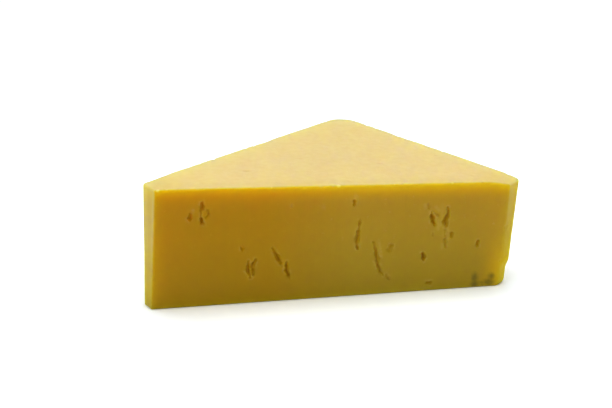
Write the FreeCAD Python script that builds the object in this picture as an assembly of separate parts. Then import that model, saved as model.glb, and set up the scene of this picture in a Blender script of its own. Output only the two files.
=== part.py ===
"""Cheddar block: a hand-cut, three-sided wedge of firm cheese, as one solid.

The block lies on its broad base. Its outline, seen from above, is a triangle whose three
corners are blunt: the left one is sliced off square, the right one has a small nick taken
off it, and the rear one is a soft curve. The knife cuts are a little off true, so the block
is thicker at its left end and its rear right side is undercut.

Units are millimetres. X runs along the long front side, Y from the front side to the rear
corner, and Z up. The origin is at the centre of the bounding box, on the base.
"""

import FreeCAD, Part
import math
import os

from FreeCAD import Vector

# Outline at the top of the block, between the sharp corners that its sides would meet in.
front_side = 135.7  # length of the long front side
rear_corner_along = 85.5  # place of the rear corner, measured along the front side
depth = 74.6  # front side to the sharp rear corner

# Thickness of the block at the two sharp front corners.
thickness_left = 42.3
thickness_right = 37.4

# How far each side leans in towards its foot, in degrees from upright.
front_lean = 0.0
rear_left_lean = 1.3
rear_right_lean = 4.1
left_end_lean = -3.4
right_end_lean = 1.5

# Where the slice and the nick leave the sides, measured from the sharp corner.
left_end_from_front = 11.5
left_end_from_rear = 10.8
right_end_from_front = 7.2
right_end_from_rear = 4.2

# Softness of the corners and edges, as radii.
rear_corner_radius = 7.4
left_end_radius = 0.9
right_end_radius = 1.6
rim_radius = 0.7
foot_radius = 0.5

# Edges shorter than this are left as they are, and a point this near a plane lies on it.
shortest_edge = 0.05
plane_tolerance = 0.001


def half_space(point, outward, reach):
    """A box that fills everything beyond a plane, out to a given reach."""
    box = Part.makeBox(2 * reach, 2 * reach, reach, Vector(-reach, -reach, 0))
    turn = FreeCAD.Rotation(Vector(0, 0, 1), outward)
    box.Placement = FreeCAD.Placement(point, turn)
    return box


def side_plane(start, end, lean, level):
    """Point and outward normal of a side that passes through start and end at one level.

    The outline runs counter-clockwise, so outwards is to the right of start to end. A
    positive lean brings the foot of the side inwards.
    """
    along = (end - start).normalize()
    flat_normal = Vector(along.y, -along.x, 0)
    tilt = math.radians(lean)
    outward = flat_normal * math.cos(tilt) + Vector(0, 0, -math.sin(tilt))
    return Vector(start.x, start.y, level), outward


def outline_corners():
    """The three sharp corners of the outline: front left, front right and rear."""
    return Vector(0, 0, 0), Vector(front_side, 0, 0), Vector(rear_corner_along, depth, 0)


def toward(start, end, distance):
    """The point at a distance from start on the line to end."""
    return start + (end - start).normalize() * distance


def side_planes(level):
    """Each side of the block, in order round the outline, as (name, point, outward)."""
    left, right, rear = outline_corners()
    right_nick = (toward(right, left, right_end_from_front), toward(right, rear, right_end_from_rear))
    left_slice = (toward(left, rear, left_end_from_rear), toward(left, right, left_end_from_front))
    sides = [
        ("front", left, right, front_lean),
        ("right_end", *right_nick, right_end_lean),
        ("rear_right", right, rear, rear_right_lean),
        ("rear_left", rear, left, rear_left_lean),
        ("left_end", *left_slice, left_end_lean),
    ]
    return [(name, *side_plane(start, end, lean, level)) for name, start, end, lean in sides]


def top_plane():
    """Point and outward normal of the sloping top."""
    slope = math.atan2(thickness_right - thickness_left, front_side)
    return Vector(0, 0, thickness_left), Vector(-math.sin(slope), 0, math.cos(slope))


def cut_block():
    """The block with all its knife cuts and every edge still sharp."""
    reach = 2 * (front_side + depth + thickness_left)
    level = max(thickness_left, thickness_right)
    start = Vector(-front_side, -depth, 0)
    block = Part.makeBox(3 * front_side, 3 * depth, 2 * level, start)
    planes = [plane[1:] for plane in side_planes(level)] + [top_plane()]
    for point, outward in planes:
        block = block.cut(half_space(point, outward, reach))
    return block


def on_plane(point, plane_point, outward):
    """Whether a point lies on a plane, as near as matters."""
    return abs((point - plane_point).dot(outward)) < plane_tolerance


def shared_edges(block, first, second):
    """Edges whose two ends lie on both planes."""
    planes = (first, second)
    return [
        edge
        for edge in block.Edges
        if edge.Length > shortest_edge
        and all(on_plane(vertex.Point, *plane) for vertex in edge.Vertexes for plane in planes)
    ]


def soften_corners(block):
    """Rounds the upright corners, each with its own radius."""
    level = max(thickness_left, thickness_right)
    planes = {name: (point, outward) for name, point, outward in side_planes(level)}
    corners = [
        ("rear_right", "rear_left", rear_corner_radius),
        ("rear_left", "left_end", left_end_radius),
        ("left_end", "front", left_end_radius),
        ("front", "right_end", right_end_radius),
        ("right_end", "rear_right", right_end_radius),
    ]
    for first, second, radius in corners:
        block = block.makeFillet(radius, shared_edges(block, planes[first], planes[second]))
    return block


def soften_edges(block):
    """Rounds the rim round the top and the foot round the base."""
    base = (Vector(0, 0, 0), Vector(0, 0, -1))
    for plane, radius in ((top_plane(), rim_radius), (base, foot_radius)):
        rim = [
            edge
            for edge in block.Edges
            if all(on_plane(point, *plane) for point in edge.discretize(5))
        ]
        block = block.makeFillet(radius, rim)
    return block


def stand_at_origin(block):
    """Moves the block so that its bounding box is centred over the origin, on the base."""
    box = block.optimalBoundingBox(False)
    middle = Vector((box.XMin + box.XMax) / 2, (box.YMin + box.YMax) / 2, box.ZMin)
    block.translate(middle * -1)
    return block


def cheddar_block():
    """The finished block."""
    return stand_at_origin(soften_edges(soften_corners(cut_block())))


os.makedirs("parts", exist_ok=True)
finished = cheddar_block()
finished.exportStep("parts/cheddar_block.step")
extent = finished.optimalBoundingBox(False)
print(
    f"cheddar_block: {extent.XLength:.2f} x {extent.YLength:.2f} x {extent.ZLength:.2f} mm, "
    f"{finished.Volume / 1000:.1f} cubic centimetres, {len(finished.Faces)} faces, "
    f"valid {finished.isValid()}"
)
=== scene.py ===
import math
import random

import bmesh
import bpy
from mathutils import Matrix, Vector, noise


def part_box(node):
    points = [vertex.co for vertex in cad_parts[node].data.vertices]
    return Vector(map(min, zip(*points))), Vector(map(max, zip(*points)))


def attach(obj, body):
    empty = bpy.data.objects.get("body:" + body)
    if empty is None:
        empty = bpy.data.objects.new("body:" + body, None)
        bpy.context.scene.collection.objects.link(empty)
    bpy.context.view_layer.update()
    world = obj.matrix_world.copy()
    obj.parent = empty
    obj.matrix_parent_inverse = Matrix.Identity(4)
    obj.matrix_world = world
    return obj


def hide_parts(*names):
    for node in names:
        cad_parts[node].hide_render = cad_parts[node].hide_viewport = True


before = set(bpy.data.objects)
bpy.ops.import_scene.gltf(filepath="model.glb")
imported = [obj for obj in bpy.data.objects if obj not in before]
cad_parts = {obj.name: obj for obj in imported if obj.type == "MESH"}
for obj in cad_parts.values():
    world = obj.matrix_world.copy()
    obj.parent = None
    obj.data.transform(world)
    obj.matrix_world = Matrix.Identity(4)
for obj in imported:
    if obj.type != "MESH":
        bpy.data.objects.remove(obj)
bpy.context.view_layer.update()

low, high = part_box("cheddar_block")
mm = 0.001  # the scene is in metres, the sizes below in millimetres

# the block as the knife left it

block = {
    "frontSide": 135.7,  # long front side, between its sharp corners
    "rearAlong": 85.5,  # where the sharp rear corner lies along it
    "depth": 74.6,
    "thickLeft": 42.3,
    "thickRight": 37.4,
    "leftBeyond": 6.82,  # the sharp left corner stands this far outside the box
    "leftCut": (11.5, 10.8),  # off the left corner, along the front and the rear side
    "rightCut": (7.2, 4.2),  # off the right corner, the same way
    "leans": {"front": 0.0, "rightEnd": 1.5, "rearRight": 4.1, "rearLeft": 1.3, "leftEnd": -3.4},
    "rounded": {
        ("rearRight", "rearLeft"): 7.4,
        ("rearLeft", "leftEnd"): 0.9,
        ("leftEnd", "front"): 0.9,
        ("front", "rightEnd"): 2.6,
        ("rightEnd", "rearRight"): 1.6,
    },
    "rim": 0.7,
    "foot": 0.5,
    "grid": 0.8,  # size of the mesh's cells
}


def toward(start, end, distance):
    return start + (end - start).normalized() * distance * mm


def sidePlanes():
    left = Vector((low.x - block["leftBeyond"] * mm, low.y, 0))
    right = left + Vector((block["frontSide"] * mm, 0, 0))
    rear = left + Vector((block["rearAlong"] * mm, block["depth"] * mm, 0))
    leftCut, rightCut = block["leftCut"], block["rightCut"]
    ends = {
        "front": (left, right),
        "rightEnd": (toward(right, left, rightCut[0]), toward(right, rear, rightCut[1])),
        "rearRight": (right, rear),
        "rearLeft": (rear, left),
        "leftEnd": (toward(left, rear, leftCut[1]), toward(left, right, leftCut[0])),
    }
    planes = {}
    for name, (start, end) in ends.items():
        along = (end - start).normalized()
        lean = math.radians(block["leans"][name])
        outward = Vector((along.y, -along.x, 0)) * math.cos(lean) - Vector((0, 0, math.sin(lean)))
        point = start + Vector((0, 0, block["thickLeft"] * mm))
        planes[name] = {"point": point, "outward": outward, "along": along, "length": (end - start).length}
    return planes


def allPlanes():
    planes = sidePlanes()
    slope = math.atan2(block["thickRight"] - block["thickLeft"], block["frontSide"])
    start = Vector((low.x - block["leftBeyond"] * mm, low.y, block["thickLeft"] * mm))
    planes["top"] = {"point": start, "outward": Vector((-math.sin(slope), 0, math.cos(slope)))}
    planes["base"] = {"point": Vector((0, 0, 0)), "outward": Vector((0, 0, -1))}
    return planes


planes = allPlanes()


def depthUnder(name, place):
    # how far a place lies inside one of the block's planes, in mm
    return (planes[name]["point"] - place).dot(planes[name]["outward"]) / mm


def edgeDistance(place):
    # distance to the nearest knife edge in mm, and the two cuts that meet there
    ranked = sorted((depthUnder(name, place), name) for name in planes)
    return ranked[1][0], ranked[0][1], ranked[1][1]


def everything(bm):
    return bm.verts[:] + bm.edges[:] + bm.faces[:]


def cutBlock():
    bm = bmesh.new()
    bmesh.ops.create_cube(bm, size=1.0)
    bmesh.ops.scale(bm, vec=(high - low) * 3, verts=bm.verts)
    bmesh.ops.translate(bm, vec=(0, 0, high.z), verts=bm.verts)
    for plane in planes.values():
        cut = bmesh.ops.bisect_plane(
            bm, geom=everything(bm), plane_co=plane["point"], plane_no=plane["outward"], clear_outer=True
        )
        rimEdges = [e for e in cut["geom_cut"] if isinstance(e, bmesh.types.BMEdge)]
        bmesh.ops.contextual_create(bm, geom=rimEdges)
    return bm


def edgesBetween(bm, first, second):
    return [
        e for e in bm.edges
        if all(abs(depthUnder(name, v.co)) < 0.01 for v in e.verts for name in (first, second))
    ]


def roundEdges(bm, edges, radius, segments):
    turn = sum(e.calc_face_angle() for e in edges) / len(edges)
    bmesh.ops.bevel(
        bm, geom=edges, offset=radius * mm * math.tan(turn / 2), offset_type="OFFSET",
        segments=segments, profile=0.5, affect="EDGES", clamp_overlap=True, material=-1,
    )


def roundBlock(bm):
    for (first, second), radius in block["rounded"].items():
        roundEdges(bm, edgesBetween(bm, first, second), radius, 10 if radius > 3 else 4)
    for name in ("top", "base"):
        rim = [
            e for e in bm.edges
            if all(abs(depthUnder(name, v.co)) < 0.01 for v in e.verts)
        ]
        roundEdges(bm, rim, block["rim"] if name == "top" else block["foot"], 3)


def sliceGrid(bm):
    # slices right through along each axis, so that every face is a grid of small cells
    for axis in range(3):
        span = high[axis] - low[axis]
        count = math.ceil(span / (block["grid"] * mm))
        normal = Vector((0, 0, 0))
        normal[axis] = 1
        for i in range(1, count):
            place = low.copy()
            place[axis] = low[axis] + span * i / count
            bmesh.ops.bisect_plane(bm, geom=everything(bm), plane_co=place, plane_no=normal)
    bmesh.ops.remove_doubles(bm, verts=bm.verts, dist=0.04 * mm)


# openings are the small slits and pits left where the curd did not knit together
# each line runs (along the face, up from the foot, width), all in mm
frontOpenings = [
    {"name": "leftChip", "line": [(26.5, 36.3, 0.8), (26.4, 34.8, 1.7), (25.9, 34.0, 1.1)], "deep": 0.8},
    {"name": "leftCrease", "line": [(25.9, 34.2, 0.7), (25.9, 32.0, 0.8)], "deep": 0.5},
    {"name": "leftCurl", "line": [(28.1, 33.8, 0.8), (28.5, 32.4, 0.8), (27.5, 31.2, 0.7)], "deep": 0.4},
    {"name": "leftPit", "line": [(22.6, 32.8, 1.0), (22.3, 31.1, 1.5)], "deep": 0.8},
    {"name": "leftLow", "line": [(26.1, 31.0, 0.9), (26.3, 29.3, 1.4)], "deep": 1.0},
    {"name": "specks", "line": [(55.6, 34.2, 0.5), (55.5, 33.4, 0.7)], "deep": 0.3},
    {"name": "bumpPit", "line": [(76.0, 34.0, 0.8), (75.9, 32.9, 1.2)], "deep": 0.8},
    {"name": "tallSlit", "deep": 0.8, "line": [
        (78.0, 27.3, 0.5), (77.7, 24.9, 0.8), (77.3, 22.6, 1.2), (77.1, 20.6, 1.5), (77.0, 18.8, 1.3),
        (77.1, 17.0, 0.8)]},
    {"name": "bentSlit", "deep": 0.75, "line": [
        (82.5, 19.0, 0.6), (83.2, 16.6, 0.9), (83.8, 13.6, 1.4), (84.2, 10.6, 1.5), (85.0, 8.3, 1.1),
        (86.0, 7.0, 0.8)]},
    {"name": "bentTail", "line": [(87.0, 6.8, 0.9), (88.2, 5.2, 1.0)], "deep": 0.35},
    {"name": "softDimple", "line": [(88.5, 17.4, 1.6), (87.9, 15.9, 2.3)], "deep": 0.45},
    {"name": "ovalPit", "line": [(99.4, 13.6, 1.1), (99.8, 11.9, 1.5)], "deep": 1.25},
    {"name": "forkedPit", "deep": 1.35, "line": [
        (102.1, 28.4, 0.9), (102.2, 26.7, 1.9), (102.5, 25.2, 1.4), (103.2, 23.6, 0.7)]},
    {"name": "forkedArm", "line": [(103.1, 27.9, 1.0), (104.2, 27.2, 0.9)], "deep": 0.45},
    {"name": "forkedTop", "line": [(100.6, 31.4, 0.7), (101.0, 30.0, 0.8)], "deep": 0.35},
    {"name": "wideSlit", "deep": 1.25, "line": [
        (107.5, 29.7, 0.6), (107.6, 28.2, 1.1), (107.3, 26.7, 1.4), (106.6, 24.6, 2.1),
        (107.0, 23.2, 1.2)]},
    {"name": "creaseBelow", "line": [(106.7, 21.6, 0.7), (106.8, 19.8, 0.8)], "deep": 0.3},
    {"name": "lowSlit", "line": [(107.0, 18.2, 1.0), (107.1, 15.8, 1.1)], "deep": 0.5},
    {"name": "smallPit", "line": [(109.0, 20.3, 1.1), (109.1, 19.3, 1.3)], "deep": 0.75},
    {"name": "tinyPit", "line": [(102.6, 20.9, 0.5), (102.6, 20.3, 0.6)], "deep": 0.3},
    {"name": "greyPit", "line": [(118.2, 16.8, 0.9), (118.1, 15.5, 1.2)], "deep": 0.8},
    {"name": "footMark", "line": [(101.2, 2.8, 1.1), (102.3, 2.7, 1.3)], "deep": 0.75},
]

# ridges and grains that stand a little proud, painted pale as a highlight: (along, up, width)
frontRidges = [
    [(105.7, 31.0, 0.8), (105.5, 27.0, 0.7), (105.1, 23.5, 0.8)],
    [(107.9, 21.6, 0.7), (107.6, 18.6, 0.7)],
    [(104.3, 25.4, 0.6), (104.4, 22.0, 0.7)],
    [(76.5, 35.6, 1.3), (76.4, 34.9, 1.2)],
    [(23.5, 34.0, 1.1), (23.3, 33.3, 1.1)],
    [(99.6, 31.2, 0.9), (99.6, 30.0, 0.9)],
    [(106.0, 16.6, 0.8), (105.9, 15.2, 0.8)],
    [(55.5, 33.8, 0.9), (55.4, 33.4, 0.9)],
    [(65.8, 33.0, 0.9), (65.8, 32.0, 0.9)],
    [(84.3, 19.4, 0.5), (85.0, 16.6, 0.5), (85.5, 13.4, 0.4)],
    [(103.3, 30.3, 0.9), (104.5, 28.8, 0.9)],
]

openings = {
    "soft": 0.25,  # how far outside its outline a hollow begins
    "wobble": 0.38,  # how ragged its outline is
    "lip": 0.12,  # how proud its lip stands
    "margin": 1.6,  # how far around it the mesh is finer
    "hidden": {"front": 5, "rearLeft": 17, "rearRight": 14, "leftEnd": 0, "rightEnd": 0},
    "seed": 11,
}


def hiddenOpenings(side, count, spans, rng):
    # clusters of slits on the sides that are not described above, in the same sizes
    found = []
    centre = None
    for i in range(count):
        if centre is None or rng.random() < 0.4:
            centre = (rng.uniform(*spans[0]), rng.uniform(*spans[1]))
        along = centre[0] + rng.gauss(0, 4.0)
        up = centre[1] + rng.gauss(0, 5.0)
        length = rng.choice((1.0, 1.4, 1.8, 3.2, 5.5))
        lean = rng.gauss(0, 0.25)
        width = rng.uniform(0.7, 1.1) + length * 0.10
        bend = rng.gauss(0, 0.12) * length
        if not (spans[0][0] < along < spans[0][1] and spans[1][0] < up < spans[1][1]):
            continue
        half = length / 2
        found.append({
            "name": f"{side}{i}",
            "line": [(along - lean * half, up + half, width * 0.5), (along + bend, up, width),
                     (along + lean * half, up - half, width * 0.6)],
            "deep": rng.uniform(0.5, 0.75) * width,
        })
    return found


def allOpenings():
    rng = random.Random(openings["seed"])
    found = {name: [] for name in openings["hidden"]}
    found["front"] = list(frontOpenings)
    found["front"] += hiddenOpenings("front", openings["hidden"]["front"], ((20, 58), (5, 22)), rng)
    for side in ("rearLeft", "rearRight"):
        length = planes[side]["length"] / mm
        found[side] = hiddenOpenings(side, openings["hidden"][side], ((14, length - 14), (5, 34)), rng)
    return found


def onFace(side, place):
    # (along the face, up from the foot) in mm
    offset = place - planes[side]["point"]
    return offset.dot(planes[side]["along"]) / mm, place.z / mm


def reachInside(opening, along, up):
    # over 0 inside the opening's outline, below 0 outside it, in mm
    best = -100.0
    for (a0, u0, w0), (a1, u1, w1) in zip(opening["line"], opening["line"][1:]):
        da, du = a1 - a0, u1 - u0
        part = ((along - a0) * da + (up - u0) * du) / max(da * da + du * du, 1e-9)
        part = min(1.0, max(0.0, part))
        away = math.hypot(along - a0 - da * part, up - u0 - du * part)
        best = max(best, (w0 + (w1 - w0) * part) / 2 - away)
    return best


def blendStep(start, end, value):
    part = min(1.0, max(0.0, (value - start) / (end - start)))
    return part * part * (3 - 2 * part)


def nearOpening(opening, along, up):
    alongs, ups = [p[0] for p in opening["line"]], [p[1] for p in opening["line"]]
    reach = openings["margin"] + 1.2
    return min(alongs) - reach < along < max(alongs) + reach and min(ups) - reach < up < max(ups) + reach


def refineOpenings(bm, found):
    # two rounds of halving the edges around each opening
    for margin in (openings["margin"], openings["margin"] * 0.45):
        chosen = []
        for e in bm.edges:
            middle = (e.verts[0].co + e.verts[1].co) / 2
            for side, group in found.items():
                if not group or abs(depthUnder(side, middle)) > 0.02:
                    continue
                along, up = onFace(side, middle)
                if any(nearOpening(o, along, up) and reachInside(o, along, up) > -margin for o in group):
                    chosen.append(e)
                break
        bmesh.ops.subdivide_edges(bm, edges=chosen, cuts=1, use_grid_fill=True)


def refineRims(bm):
    chosen = []
    for e in bm.edges:
        middle = (e.verts[0].co + e.verts[1].co) / 2
        if middle.z > 1.5 * mm and edgeDistance(middle)[0] < 1.0 and e.calc_length() > 0.45 * mm:
            chosen.append(e)
    bmesh.ops.subdivide_edges(bm, edges=chosen, cuts=1, use_grid_fill=True)


# what handling and the knife did to the faces and edges

wear = {
    "waveFace": 0.15,  # gentle waves of the cut faces
    "waveSize": 26.0,
    "ripple": 0.035,  # finer ripples, drawn out along the knife's way
    "edgeWave": 0.28,  # how unevenly the edges are rounded
    "softCorner": 0.5,  # how much more the top is rounded towards the right end
    "chip": 0.9,  # how deep the chips along the edges go
    "droop": 1.1,  # the worn corner, front right of the top
    "droopReach": 9.0,
    "notch": 0.8,  # the piece missing low on the right end
    "notchTop": 9.0,
    "tuck": 0.5,  # how far the foot below it is rounded off
    "sag": 0.35,  # how far the top sinks at the rear of the left end
    "sagReach": 13.0,
    # smudges low on the front: place along and up, reach along and up, strength
    "smudges": [(117.8, 3.3, 1.3, 2.6, 0.7), (117.9, 1.0, 1.8, 1.5, 1.0), (123.5, 3.5, 1.7, 1.7, 0.75),
                (122.9, 1.5, 2.6, 1.7, 0.8), (120.4, 1.2, 1.8, 1.2, 0.5)],
    # faint scratches on the top: place along and back, reach along and back, strength
    "scratches": [(43.0, 15.9, 2.0, 0.7, 1.0), (88.8, 20.6, 1.3, 0.8, 0.6), (74.7, 4.2, 1.0, 0.7, 0.6),
                  (117.2, 6.9, 0.9, 0.7, 0.6), (110.2, 28.0, 1.2, 0.6, 0.7), (30.5, 6.0, 1.2, 0.5, 0.4),
                  (62.0, 27.0, 1.6, 0.5, 0.4), (84.0, 47.0, 1.4, 0.6, 0.4)],
    "scratchDeep": 0.25,
    # crumbs along the front rim: place along, size
    "crumbs": [(70.7, 0.65), (48.9, 0.35), (89.2, 0.3), (108.6, 0.4), (12.6, 0.6), (15.4, 0.35)],
    "crumbHigh": 0.3,
}


def noiseAt(place, size, shift=0.0):
    return noise.noise(place / (size * mm) + Vector((shift, shift * 1.7, -shift)))


def facesWorn(place, first, distance):
    # gentle waves of a cut face and finer ripples along the knife's way
    wave = noiseAt(place, wear["waveSize"], 3.1) * 0.5 + 0.5
    worn = wave * wear["waveFace"] * blendStep(0.0, 3.0, distance)
    drawnOut = (0.3, 1.0, 0.0) if first == "top" else (1.0, 1.0, 0.12)
    stretch = place * Vector(drawnOut)
    ripple = noise.noise(stretch / (3.2 * mm)) + 0.6 * noise.noise(stretch / (1.6 * mm))
    return worn + (ripple * 0.5 + 0.5) * wear["ripple"]


def edgesWorn(place, first, second):
    # uneven rounding and small chips along the knife edges
    wave = max(0.0, noiseAt(place, 7.0, 8.3)) * wear["edgeWave"]
    if "top" not in (first, second):
        wave *= 0.4
    if {first, second} == {"top", "rightEnd"}:
        wave += wear["softCorner"]
    chip = max(0.0, noiseAt(place, 2.1, 1.9) - 0.34) * wear["chip"]
    chip += max(0.0, noiseAt(place, 0.9, 5.2) - 0.42) * wear["chip"] * 0.5
    return wave + chip


def cornersSunk(place):
    # how far the top sinks at the worn front right corner and at the rear of the left end
    nearTop = blendStep(0.5, 1.0, place.z / high.z)
    corner = Vector((high.x - 3 * mm, low.y, place.z))
    fromCorner = (corner - place).length / mm
    sunk = wear["droop"] * blendStep(wear["droopReach"], 0.0, fromCorner)
    fromRear = (planes["leftEnd"]["point"].xy - place.xy).length / mm
    sunk += wear["sag"] * blendStep(wear["sagReach"], 4.0, fromRear)
    return sunk * nearTop


def notchLow(place):
    # the piece missing low on the right end, and the foot rounded off below it
    rightPart = blendStep(9.0, 3.0, (high.x - place.x) / mm)
    if rightPart == 0 or place.z >= 12 * mm:
        return 0.0
    ragged = noiseAt(place, 3.0, 4.4) * 0.8
    part = blendStep(wear["notchTop"] + ragged, wear["notchTop"] - 3.4 + ragged, place.z / mm)
    tuck = blendStep(1.7, 0.0, place.z / mm)
    return (wear["notch"] * part + wear["tuck"] * tuck) * rightPart


def wearAway(place):
    # how far a place on the plain block moves
    distance, first, second = edgeDistance(place)
    move = Vector((0, 0, 0))
    if first != "base":
        move -= planes[first]["outward"] * facesWorn(place, first, distance) * mm
    near = 1 - blendStep(0.2, 2.0, distance)
    if near > 0 and "base" not in (first, second):
        bothOutward = (planes[first]["outward"] + planes[second]["outward"]).normalized()
        move -= bothOutward * edgesWorn(place, first, second) * near * mm
    move.z -= cornersSunk(place) * mm
    move.x -= notchLow(place) * mm
    return move


def openUp(along, up, group, place):
    # depth of the openings at a place on a face, and the marks for the painted shade inside them and the
    # painted highlight on their lips
    depth, inside, lip = 0.0, 0.0, 0.0
    ragged = noiseAt(place, 0.7, 2.2) * 0.6 + noiseAt(place, 1.5, 6.1)
    patchy = blendStep(-0.25, 0.35, noiseAt(place, 2.2, 9.4))
    for opening in group:
        if not nearOpening(opening, along, up):
            continue
        reach = reachInside(opening, along, up) + ragged * openings["wobble"]
        wide = max(p[2] for p in opening["line"])
        strong = min(1.0, 0.2 + opening["deep"] / 1.4)
        within = blendStep(-openings["soft"], wide * 0.5, reach)
        depth = max(depth, opening["deep"] * within)
        inside = max(inside, blendStep(0.0, wide * 0.5, reach) * strong)
        if reach < 0:
            lip = max(lip, blendStep(-1.1, -0.1, reach) * patchy * strong)
    return depth, inside, lip


def ridgeAt(along, up):
    reach = max(reachInside({"line": line}, along, up) for line in frontRidges)
    return 0.8 * blendStep(-0.5, 0.4, reach)


def smudgeAt(place):
    along, up = onFace("front", place)
    best = 0.0
    for centre, height, wide, tall, strength in wear["smudges"]:
        far = math.hypot((along - centre) / wide, (up - height) / tall)
        best = max(best, strength * blendStep(1.2, 0.2, far))
    return best


def scratchAt(place):
    start = planes["top"]["point"]
    along, back = (place.x - start.x) / mm, (place.y - start.y) / mm
    best = 0.0
    for centre, behind, wide, deep, strength in wear["scratches"]:
        far = math.hypot((along - centre) / wide, (back - behind) / deep)
        best = max(best, strength * blendStep(1.1, 0.2, far))
    return best


def crumbAt(place):
    along = (place.x - planes["top"]["point"].x) / mm
    under, behind = depthUnder("top", place), depthUnder("front", place)
    best = 0.0
    for centre, size in wear["crumbs"]:
        far = math.sqrt((along - centre) ** 2 + under ** 2 + behind ** 2) / size
        best = max(best, blendStep(1.5, 0.6, far))
    return best


def skinAndSheenAt(place, first, second, distance):
    # 1 on the dry top, whose paler colour is partly a painted sheen; less on the two ends, where it is a
    # painted reflection; 0 on the moist cuts
    skinAndSheenPerFace = {"top": 1.0, "base": 1.0, "leftEnd": 0.5, "rightEnd": 0.05}
    own, other = skinAndSheenPerFace.get(first, 0.0), skinAndSheenPerFace.get(second, 0.0)
    skinAndSheen = own + (other - own) * 0.5 * (1 - blendStep(0.0, 0.5, distance))
    # a painted highlight on the upper part of the right end, beside the front
    if first == "rightEnd":
        besideFront = 1 - blendStep(0.8, 2.6, depthUnder("front", place))
        skinAndSheen += 0.3 * besideFront * blendStep(12.0, 32.0, place.z / mm)
    # a painted highlight along the edges of the left end
    if first == "leftEnd":
        skinAndSheen += 0.15 * (1 - blendStep(0.3, 1.6, distance))
    if first not in ("top", "base"):
        ragged = noiseAt(place, 4.0, 5.5) * 0.5
        skinAndSheen = max(skinAndSheen, 1 - blendStep(0.05 + ragged, 0.85 + ragged, depthUnder("top", place)))
    return skinAndSheen


def rimAt(place, first, second, distance):
    # how near a place on a cut is under the rim, for its painted glow, and how near one on the top is to its
    # brim, for the painted shade there and towards the ends
    underTop = depthUnder("top", place)
    paintedRimGlow, paintedBrimShade = 0.0, 0.0
    if first in ("front", "rearLeft", "rearRight"):
        paintedRimGlow = 1 - blendStep(1.0, 6.0, underTop)
    if first == "top" or second == "top" and underTop < 1.2:
        toEnd = min(depthUnder("leftEnd", place), depthUnder("rightEnd", place))
        paintedBrimShade = 0.25 * (1 - blendStep(0.0, 8.0, depthUnder("front", place)))
        paintedBrimShade = max(paintedBrimShade, 0.35 * (1 - blendStep(3.0, 16.0, toEnd)))
        if "leftEnd" not in (first, second) and "rightEnd" not in (first, second):
            paintedBrimShade += 0.5 * (1 - blendStep(0.2, 1.1, distance))
    return paintedRimGlow, paintedBrimShade


def paintedCornerGlowAt(place):
    # painted glow on the thin lower right corner, where light comes through
    near = 1 - blendStep(0.0, 5.5, depthUnder("rightEnd", place))
    return near * (1 - blendStep(4.0, 24.0, place.z / mm))


def openAt(place, first, distance, found):
    # how deep the block is open here, and how far inside an opening or on its lip this is
    if not found.get(first) or distance < 0.3:
        return 0.0, 0.0, 0.0
    along, up = onFace(first, place)
    depth, inside, lip = openUp(along, up, found[first], place)
    if first == "front":
        lip = max(lip, ridgeAt(along, up))
    lip *= 0.5 + 0.5 * noiseAt(place, 0.9, 7.7)
    return depth - openings["lip"] * lip, inside, lip


def ageBlock(bm, found):
    marks = bm.verts.layers.float_color.new("marks")  # painted shade inside an opening and darker scratches on the top, painted highlight on its lip, dry skin with painted sheen, crumb
    edges = bm.verts.layers.float_color.new("edges")  # painted glow under the rim, smudge, painted shade along the brim, painted glow at the thin corner
    moved = []
    for v in bm.verts:
        place = v.co.copy()
        distance, first, second = edgeDistance(place)
        depth, inside, lip = openAt(place, first, distance, found)
        scratch = scratchAt(place) if first == "top" else 0.0
        onFrontRim = {first, second} == {"top", "front"} and distance < 1.2
        crumb = crumbAt(place) if onFrontRim else 0.0
        outward = planes[first]["outward"]
        crumbWay = (outward + planes[second]["outward"]).normalized()
        move = wearAway(place) - outward * (depth + wear["scratchDeep"] * scratch) * mm
        move += crumbWay * wear["crumbHigh"] * crumb * mm
        paintedRimGlow, paintedBrimShade = rimAt(place, first, second, distance)
        smudge = smudgeAt(place) if first in ("front", "rightEnd") else 0.0
        v[marks] = (max(inside, 0.5 * scratch), lip, skinAndSheenAt(place, first, second, distance), crumb)
        v[edges] = (paintedRimGlow, smudge, paintedBrimShade, paintedCornerGlowAt(place))
        moved.append((v, move))
    for v, move in moved:
        v.co += move
        v.co.z = max(v.co.z, 0.0)


def makeBlock():
    bm = cutBlock()
    roundBlock(bm)
    sliceGrid(bm)
    print("sliced:", len(bm.faces), "faces")
    found = allOpenings()
    refineRims(bm)
    refineOpenings(bm, found)
    print("finer at rims and openings:", len(bm.faces), "faces")
    ageBlock(bm, found)
    bmesh.ops.triangulate(bm, faces=[f for f in bm.faces if len(f.verts) > 4])
    for f in bm.faces:
        f.smooth = True
    mesh = bpy.data.meshes.new("cheddarBlock")
    bm.to_mesh(mesh)
    triangles = sum(len(f.verts) - 2 for f in bm.faces)
    print("block:", triangles, "triangles, closed", all(e.is_manifold for e in bm.edges))
    bm.free()
    piece = bpy.data.objects.new("cheddarBlock", mesh)
    bpy.context.scene.collection.objects.link(piece)
    return piece


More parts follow.
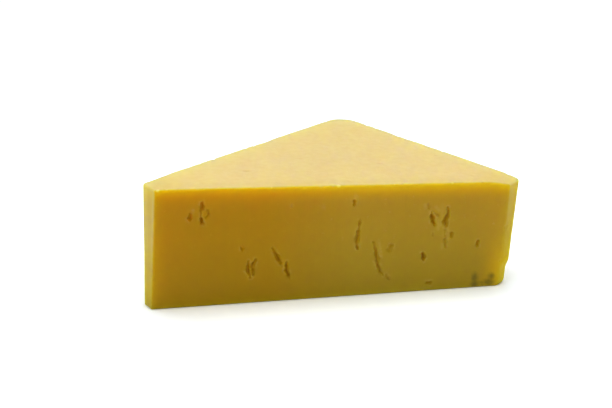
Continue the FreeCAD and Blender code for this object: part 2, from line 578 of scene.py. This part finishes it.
cheese = {
    "cut": (0.75, 0.545, 0.07),  # the moist cut faces
    "skinAndSheen": (0.825, 0.705, 0.415),  # the drier, paler top, its paleness partly a painted sheen; it is also the painted reflection on the two ends
    "deeper": (0.74, 0.40, 0.03),  # clouds of a stronger colour
    # painted shade inside the openings; the scratches on the top take it at half strength
    "paintedPitShade": (0.60, 0.39, 0.003),
    "lip": (0.86, 0.68, 0.26),  # pale flecks, and the painted highlight on the lips of the openings and on the ridges
    "rim": (0.80, 0.55, 0.004),  # painted glow just under the rim, where the light comes through
    "paintedBrimShade": (0.68, 0.53, 0.26),  # painted shade along the edge of the top and towards its ends, where it is thinner and so less bright
    "smudge": (0.17, 0.13, 0.05),
    "paintedCornerGlow": (0.99, 0.70, 0.01),  # painted glow on the thin lower right corner
    "foot": (0.65, 0.50, 0.055),  # the lower half and the knife's streaks, a little duller
    "crumb": (0.90, 0.79, 0.50),
    "paintedWarmBounce": (1.0, 0.90, 0.25),  # painted warm bounce light: the left half of the front takes this tint
    "warmFrom": 6.0,  # where along the block the tint begins and is full, from its middle
    "warmFull": -22.0,
    "warmDepth": (-29.0, -33.0),  # and from front to back
    "footFrom": 24.0,  # the height under which the foot's colour begins
    "footFull": 4.0,
    "glow": 15.0,  # how far light travels inside, in mm
    "glowTint": (0.76, 0.81, 0.05),
    "rough": (0.40, 0.54),
    "sheen": 0.42,
    "bend": 1.42,  # how strongly the surface bends light
    "relief": 0.12,  # height of the finest grain, in mm
    "reliefStrength": 0.25,
}


def addNode(tree, kind, x, y, **settings):
    node = tree.nodes.new(kind)
    node.location = (x, y)
    for name, value in settings.items():
        setattr(node, name, value)
    return node


def mixColor(tree, x, y, factor, first, second, how="MIX"):
    mix = addNode(tree, "ShaderNodeMix", x, y, data_type="RGBA", blend_type=how)
    for socket, value in ((mix.inputs[0], factor), (mix.inputs[6], first), (mix.inputs[7], second)):
        if isinstance(value, bpy.types.NodeSocket):
            tree.links.new(value, socket)
        elif isinstance(value, tuple):
            socket.default_value = (*value, 1)
        else:
            socket.default_value = value
    return mix.outputs[2]


def mapRange(tree, x, y, value, fromLow, fromHigh, toLow=0.0, toHigh=1.0):
    node = addNode(tree, "ShaderNodeMapRange", x, y)
    tree.links.new(value, node.inputs[0])
    for i, number in enumerate((fromLow, fromHigh, toLow, toHigh)):
        node.inputs[i + 1].default_value = number
    return node.outputs[0]


def noiseTexture(tree, x, y, vector, size, detail=3.0, rough=0.5):
    node = addNode(tree, "ShaderNodeTexNoise", x, y)
    tree.links.new(vector, node.inputs["Vector"])
    node.inputs["Scale"].default_value = 1 / (size * mm)
    node.inputs["Detail"].default_value = detail
    node.inputs["Roughness"].default_value = rough
    return node.outputs["Fac"]


def stretched(tree, x, y, vector, scale):
    node = addNode(tree, "ShaderNodeMapping", x, y)
    tree.links.new(vector, node.inputs["Vector"])
    node.inputs["Scale"].default_value = scale
    return node.outputs["Vector"]


def readMarks(tree, name, y):
    # the four marks that one of the block's colour layers holds
    layer = addNode(tree, "ShaderNodeAttribute", -3000, y, attribute_name=name)
    split = addNode(tree, "ShaderNodeSeparateColor", -2800, y)
    tree.links.new(layer.outputs["Color"], split.inputs[0])
    return split.outputs[0], split.outputs[1], split.outputs[2], layer.outputs["Alpha"]


def joinValues(tree, x, y, how, first, second):
    node = addNode(tree, "ShaderNodeMath", x, y, operation=how)
    tree.links.new(first, node.inputs[0])
    tree.links.new(second, node.inputs[1])
    return node.outputs[0]


def paintOver(tree, x, color, layers):
    # each layer is a colour's name, where it lies and how strongly
    for name, where, strength in layers:
        x += 170
        how = "MULTIPLY" if name == "paintedWarmBounce" else "MIX"
        amount = mapRange(tree, x - 90, 500, where, 0.0, 1.0, 0.0, strength)
        color = mixColor(tree, x, 200, amount, color, cheese[name], how)
    return color


def cheeseColor(tree, place):
    inside, lip, skinAndSheen, crumb = readMarks(tree, "marks", -400)
    paintedRimGlow, smudge, paintedBrimShade, paintedCornerGlow = readMarks(tree, "edges", -700)
    axes = addNode(tree, "ShaderNodeSeparateXYZ", -2800, 400)
    tree.links.new(place, axes.inputs[0])
    clouds = noiseTexture(tree, -2600, 0, place, 9, 4.0)
    flecks = noiseTexture(tree, -2600, -200, place, 1.6, 2.0, 0.6)
    streaks = noiseTexture(tree, -2600, -400, stretched(tree, -2800, -200, place, (1, 1, 0.1)), 2.2, 2.0)
    blots = noiseTexture(tree, -2600, -600, place, 1.8, 3.0, 0.6)
    patchy = mapRange(tree, -2400, -600, blots, 0.35, 0.65, 0.6)
    smudges = joinValues(tree, -2200, -600, "MULTIPLY", smudge, patchy)
    lowPart = mapRange(tree, -2400, 600, axes.outputs["Z"], cheese["footFrom"] * mm, cheese["footFull"] * mm)
    # painted warm bounce light, only on the moist cuts near the left half of the front
    paintedWarmBounce = mapRange(tree, -2400, 800, axes.outputs["X"], cheese["warmFrom"] * mm, cheese["warmFull"] * mm)
    nearFront = mapRange(tree, -2400, 1200, axes.outputs["Y"], *[y * mm for y in cheese["warmDepth"]])
    moist = mapRange(tree, -2400, 1000, skinAndSheen, 0.0, 0.6, 1.0, 0.0)
    paintedWarmBounce = joinValues(tree, -2300, 1000, "MULTIPLY", paintedWarmBounce, nearFront)
    paintedWarmBounce = joinValues(tree, -2200, 900, "MULTIPLY", paintedWarmBounce, moist)
    # among these layers are painted shade along the top's edge and inside the openings, painted glow under
    # the rim and at the thin corner, a painted highlight on the lips and ridges, and painted warm bounce
    # light on the left of the front
    layers = [
        ("paintedBrimShade", paintedBrimShade, 1.0),
        ("deeper", mapRange(tree, -2400, 0, clouds, 0.3, 0.7), 0.06),
        ("foot", mapRange(tree, -2400, -400, streaks, 0.35, 0.65), 0.1),
        ("lip", mapRange(tree, -2400, -200, flecks, 0.62, 0.80), 0.35),
        ("foot", lowPart, 0.8),
        ("paintedCornerGlow", paintedCornerGlow, 0.5),
        ("rim", paintedRimGlow, 0.8),
        ("paintedWarmBounce", paintedWarmBounce, 1.0),
        ("lip", lip, 0.7),
        ("paintedPitShade", inside, 0.6),
        ("smudge", smudges, 0.8),
        ("crumb", crumb, 0.8),
    ]
    color = mixColor(tree, -2200, 200, skinAndSheen, cheese["cut"], cheese["skinAndSheen"])
    return paintOver(tree, -2200, color, layers)


def cheeseRelief(tree, place):
    # fine grain, and the knife's drag drawn out up and down
    grain = noiseTexture(tree, -800, -1100, place, 0.8, 4.0, 0.6)
    drag = noiseTexture(tree, -800, -1300, stretched(tree, -1000, -1300, place, (1, 1, 0.06)), 0.9, 2.0)
    bump = addNode(tree, "ShaderNodeBump", -400, -1200)
    bump.inputs["Strength"].default_value = cheese["reliefStrength"]
    bump.inputs["Distance"].default_value = cheese["relief"] * mm
    tree.links.new(joinValues(tree, -600, -1200, "ADD", grain, drag), bump.inputs["Height"])
    return bump.outputs["Normal"]


def cheeseMaterial():
    material = bpy.data.materials.new("cheddarCheese")
    material.use_nodes = True
    tree = material.node_tree
    shader = tree.nodes["Principled BSDF"]
    place = addNode(tree, "ShaderNodeTexCoord", -3200, 0).outputs["Object"]
    patches = noiseTexture(tree, -500, -100, place, 3.0, 3.0)
    sheen = mapRange(tree, -300, -100, patches, 0.3, 0.7, *cheese["rough"])
    tree.links.new(cheeseColor(tree, place), shader.inputs["Base Color"])
    tree.links.new(sheen, shader.inputs["Roughness"])
    tree.links.new(cheeseRelief(tree, place), shader.inputs["Normal"])
    shader.inputs["Specular IOR Level"].default_value = cheese["sheen"]
    shader.inputs["IOR"].default_value = cheese["bend"]
    shader.inputs["Subsurface Weight"].default_value = 1.0
    shader.inputs["Subsurface Radius"].default_value = cheese["glowTint"]
    shader.inputs["Subsurface Scale"].default_value = cheese["glow"] * mm
    return material


stage = {
    "floor": (0.885, 0.93, 0.99),
    "floorSize": 6.0,
    "floorDrop": 0.1,  # mm under the block, so that light gets back up into it
    "floorGlow": 0.14,
    "sky": 0.16,
    "skyLow": 0.02,
    "skyDirection": (0.0, 0.55, 0.83),
}


def makeFloor():
    bm = bmesh.new()
    bmesh.ops.create_grid(bm, x_segments=1, y_segments=1, size=stage["floorSize"] / 2)
    mesh = bpy.data.meshes.new("floor")
    bm.to_mesh(mesh)
    bm.free()
    floor = bpy.data.objects.new("floor", mesh)
    floor.location.z = -stage["floorDrop"] * mm
    bpy.context.scene.collection.objects.link(floor)
    material = bpy.data.materials.new("paleTable")
    material.use_nodes = True
    shader = material.node_tree.nodes["Principled BSDF"]
    shader.inputs["Base Color"].default_value = (*stage["floor"], 1)
    shader.inputs["Roughness"].default_value = 0.7
    shader.inputs["Emission Color"].default_value = (1, 1, 1, 1)
    shader.inputs["Emission Strength"].default_value = stage["floorGlow"]
    mesh.materials.append(material)


def makeSky():
    # white overhead and behind, dim on the camera's side
    world = bpy.data.worlds.new("studio")
    bpy.context.scene.world = world
    world.use_nodes = True
    tree = world.node_tree
    back = tree.nodes["Background"]
    direction = addNode(tree, "ShaderNodeTexCoord", -800, 0).outputs["Generated"]
    facing = addNode(tree, "ShaderNodeVectorMath", -600, 0, operation="DOT_PRODUCT")
    tree.links.new(direction, facing.inputs[0])
    facing.inputs[1].default_value = Vector(stage["skyDirection"]).normalized()
    strength = mapRange(tree, -400, 0, facing.outputs["Value"], -0.1, 1.0, stage["skyLow"], stage["sky"])
    tree.links.new(strength, back.inputs["Strength"])
    back.inputs["Color"].default_value = (1, 1, 1, 1)


lights = [
    {"name": "overhead", "place": (0.0, 0.05, 2.0), "size": (1.9, 1.9), "power": 46.0},
    {"name": "left", "place": (-1.3, -0.1, 0.5), "size": (0.9, 0.7), "power": 2.2},
    {"name": "right", "place": (1.3, 0.0, 0.6), "size": (0.9, 0.7), "power": 1.5},
]


def makeLights():
    for light in lights:
        data = bpy.data.lights.new(light["name"], "AREA")
        data.shape = "RECTANGLE"
        data.size, data.size_y = light["size"]
        data.energy = light["power"]
        lamp = bpy.data.objects.new(light["name"], data)
        lamp.location = light["place"]
        lamp.rotation_euler = (Vector((0, 0, 0.02)) - lamp.location).to_track_quat("-Z", "Y").to_euler()
        bpy.context.scene.collection.objects.link(lamp)


camera = {
    "aim": (-4.0, -0.6, 20.1),  # mm
    "distance": 458.0,
    "turned": 9.17,  # degrees to the right of straight ahead
    "down": 21.5,
    "lens": 76.5,
}


def makeCamera():
    data = bpy.data.cameras.new("camera")
    data.lens = camera["lens"]
    data.sensor_width = 36
    data.clip_start = 0.01
    eye = bpy.data.objects.new("camera", data)
    turned, down = math.radians(camera["turned"]), math.radians(camera["down"])
    ahead = Vector((math.sin(turned) * math.cos(down), math.cos(turned) * math.cos(down), -math.sin(down)))
    eye.location = Vector(camera["aim"]) * mm - ahead * camera["distance"] * mm
    eye.rotation_euler = (math.pi / 2 - down, 0, -turned)
    bpy.context.scene.collection.objects.link(eye)
    bpy.context.scene.camera = eye


look = {"exposure": 0.10, "gamma": 0.65}  # a gamma under 1 gives a crisper contrast


def setLook():
    view = bpy.context.scene.view_settings
    view.view_transform = "Standard"
    view.exposure = look["exposure"]
    view.gamma = look["gamma"]


makeCamera()
piece = makeBlock()
piece.data.materials.append(cheeseMaterial())
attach(piece, "root")
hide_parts("cheddar_block")
print("cheese coloured")
makeFloor()
makeSky()
makeLights()
setLook()
print("table, light and camera set")
